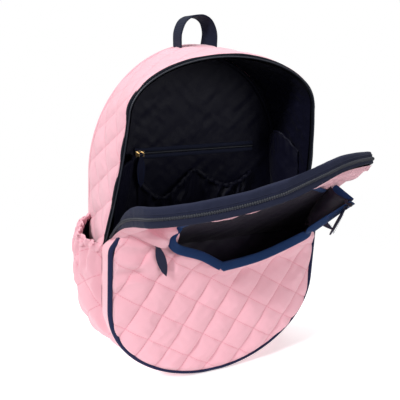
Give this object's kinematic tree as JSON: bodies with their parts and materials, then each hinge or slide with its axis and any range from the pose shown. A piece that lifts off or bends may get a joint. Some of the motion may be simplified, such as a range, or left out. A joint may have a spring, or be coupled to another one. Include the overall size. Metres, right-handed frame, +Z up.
{
  "type": "diaper bag",
  "caption": "Quilted backpack-style baby changing bag with a rounded base, zipped main flap folded open, gaping front pocket, side pockets, webbing handle and shoulder straps.",
  "frame": {"origin": "on the ground, in the middle of the flat spot the bag stands on, half way through its depth", "axes": "+Z up, +Y towards the shoulder straps (the wearer's back), +X to the right seen from the front"},
  "size_m": [0.3578, 0.327, 0.47],
  "materials": {
    "quilted_pink": "diamond-quilted matte woven",
    "plain_pink": "matte woven",
    "navy_lining": "soft satin nylon",
    "navy_tape": "woven zip tape",
    "blue_tape": "woven zip tape",
    "navy_piping": "woven over cord",
    "navy_coil": "nylon coil",
    "navy_leather": "smooth grain",
    "navy_webbing": "ribbed webbing",
    "navy_metal": "satin enamel",
    "gold_metal": "polished",
    "pad_foam": "closed-cell foam",
    "buckle_plastic": "moulded"
  },
  "bodies": {
    "bag": {"main_gusset": "quilted_pink", "gusset_lining": "navy_lining", "back_panel": "quilted_pink", "back_foam": "pad_foam", "inner_pocket_bag": "navy_lining", "back_lining": "navy_lining", "front_panel": "quilted_pink", "pocket_front_lining": "navy_lining", "pocket_gusset": "plain_pink", "front_piping": "navy_piping", "pocket_divider": "navy_lining", "main_zip_tape": "navy_tape", "main_zip_coil": "navy_coil", "slip_pockets": "navy_lining", "slip_pocket_elastic": "navy_lining", "pocket_lip": "quilted_pink", "pocket_lip_tape": "blue_tape", "handle_feet": "navy_webbing", "strap_top_patch": "plain_pink", "strap_tab_left": "navy_webbing", "strap_tab_right": "navy_webbing", "side_pocket_left": "quilted_pink", "side_pocket_elastic_left": "plain_pink", "side_pocket_right": "quilted_pink", "side_pocket_elastic_right": "plain_pink", "wall_pocket_left": "navy_lining", "wall_pocket_right": "navy_lining", "inner_zip_tape": "navy_tape"},
    "flap": {"flap_panel": "quilted_pink", "flap_lining": "navy_lining", "flap_zip_tape": "navy_tape", "flap_zip_coil": "navy_coil", "pocket_rear_tape": "blue_tape", "pocket_zip_end_left": "blue_tape", "pocket_zip_end_right": "blue_tape"},
    "main_slider": {"main_slider": "navy_metal"},
    "main_pull": {"main_pull": "navy_leather"},
    "pocket_slider_left": {"pocket_slider_left": "navy_metal"},
    "pocket_pull_left": {"pocket_pull_left": "navy_leather"},
    "pocket_slider_right": {"pocket_slider_right": "navy_metal"},
    "pocket_pull_right": {"pocket_pull_right": "navy_leather"},
    "inner_slider": {"inner_slider": "gold_metal"},
    "inner_pull": {"inner_pull": "navy_leather"},
    "handle": {"handle": "navy_webbing"},
    "strap_left": {"strap_pad_left": "quilted_pink", "strap_buckle_left": "buckle_plastic", "strap_webbing_left": "navy_webbing", "strap_tail_left": "navy_webbing"},
    "strap_right": {"strap_pad_right": "quilted_pink", "strap_buckle_right": "buckle_plastic", "strap_webbing_right": "navy_webbing", "strap_tail_right": "navy_webbing"}
  },
  "joints": [
    {"name": "flap_fold", "type": "hinge", "parent": "bag", "child": "flap", "pos_m": [0, -0.024, 0.192], "axis": [1, 0, 0], "range_deg": [-50, 15]},
    {"name": "main_slider_travel", "type": "slide", "parent": "bag", "child": "main_slider", "axis": [-0.0928, -0.1729, 0.9806], "range_m": [0, 0.125]},
    {"name": "main_pull_swing", "type": "hinge", "parent": "main_slider", "child": "main_pull", "pos_m": [0.15514, -0.0263, 0.20675], "axis": [0.0787, 0.6685, -0.7395], "range_deg": [-50, 30]},
    {"name": "pocket_slider_left_travel", "type": "slide", "parent": "flap", "child": "pocket_slider_left", "axis": [0.9488, -0.0999, 0.2996], "range_m": [0, 0.02]},
    {"name": "pocket_pull_left_swing", "type": "hinge", "parent": "pocket_slider_left", "child": "pocket_pull_left", "pos_m": [-0.09656, -0.06926, 0.20418], "axis": [0.9488, -0.0999, 0.2996], "range_deg": [-70, 8]},
    {"name": "pocket_slider_right_travel", "type": "slide", "parent": "flap", "child": "pocket_slider_right", "axis": [-0.3655, 0.8435, 0.3936], "range_m": [0, 0.012]},
    {"name": "pocket_pull_right_swing", "type": "hinge", "parent": "pocket_slider_right", "child": "pocket_pull_right", "pos_m": [0.12272, -0.14704, 0.25346], "axis": [-0.6386, -0.7471, -0.1848], "range_deg": [-55, 55]},
    {"name": "inner_slider_travel", "type": "slide", "parent": "bag", "child": "inner_slider", "axis": [1, 0, 0], "range_m": [0, 0.15]},
    {"name": "inner_pull_swing", "type": "hinge", "parent": "inner_slider", "child": "inner_pull", "pos_m": [-0.078, 0.0307, 0.292], "axis": [1, 0, 0], "range_deg": [-80, 4]},
    {"name": "handle_lean", "type": "hinge", "parent": "bag", "child": "handle", "pos_m": [0, 0.034, 0.432], "axis": [1, 0, 0], "range_deg": [-30, 30]},
    {"name": "strap_right_swing", "type": "hinge", "parent": "bag", "child": "strap_right", "pos_m": [0.048, 0.0615, 0.392], "axis": [-0.1673, 0, 0.9859], "range_deg": [-20, 20]},
    {"name": "strap_left_swing", "type": "hinge", "parent": "bag", "child": "strap_left", "pos_m": [-0.048, 0.0615, 0.392], "axis": [0.1673, 0, 0.9859], "range_deg": [-20, 20]}
  ]
}
